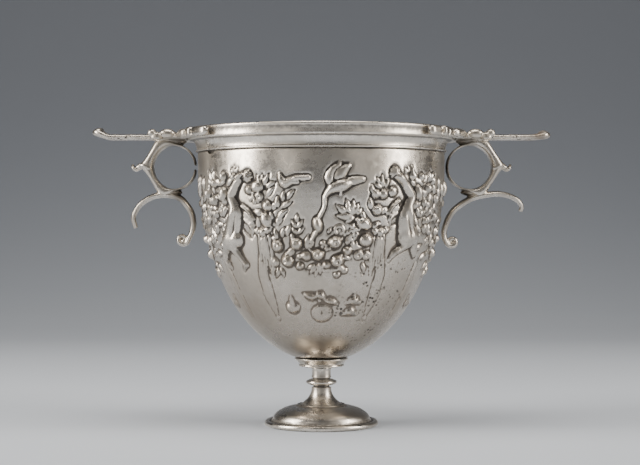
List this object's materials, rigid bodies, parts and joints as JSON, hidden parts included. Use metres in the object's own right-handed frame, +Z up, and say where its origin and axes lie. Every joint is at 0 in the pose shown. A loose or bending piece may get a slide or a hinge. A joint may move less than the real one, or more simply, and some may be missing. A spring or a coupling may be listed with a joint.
{
  "type": "skyphos",
  "caption": "Deep silver wine cup with a relief frieze, a stemmed foot and two handles, each with a thumb plate, a finger ring and a crescent rest.",
  "frame": {"origin": "centre of the foot's underside, which is the middle of the bounding box's bottom", "axes": "+Z up along the cup's axis, +X along the handles, -Y towards the front panel of the frieze"},
  "size_m": [0.1934, 0.1134, 0.125],
  "materials": {
    "foot": "turned silver, satin, grey tarnish in the grooves",
    "relief_casing": "chased silver, satin, dark tarnish in the hollows of the relief, pitted below",
    "liner": "beaten silver, satin, brighter on the lip",
    "handle_right": "cast silver, satin, brown stains at the joins",
    "handle_left": "cast silver, satin, pitted, brown stains at the joins"
  },
  "bodies": {
    "root": {"foot": "foot", "relief_casing": "relief_casing", "liner": "liner", "handle_right": "handle_right", "handle_left": "handle_left"}
  },
  "joints": []
}
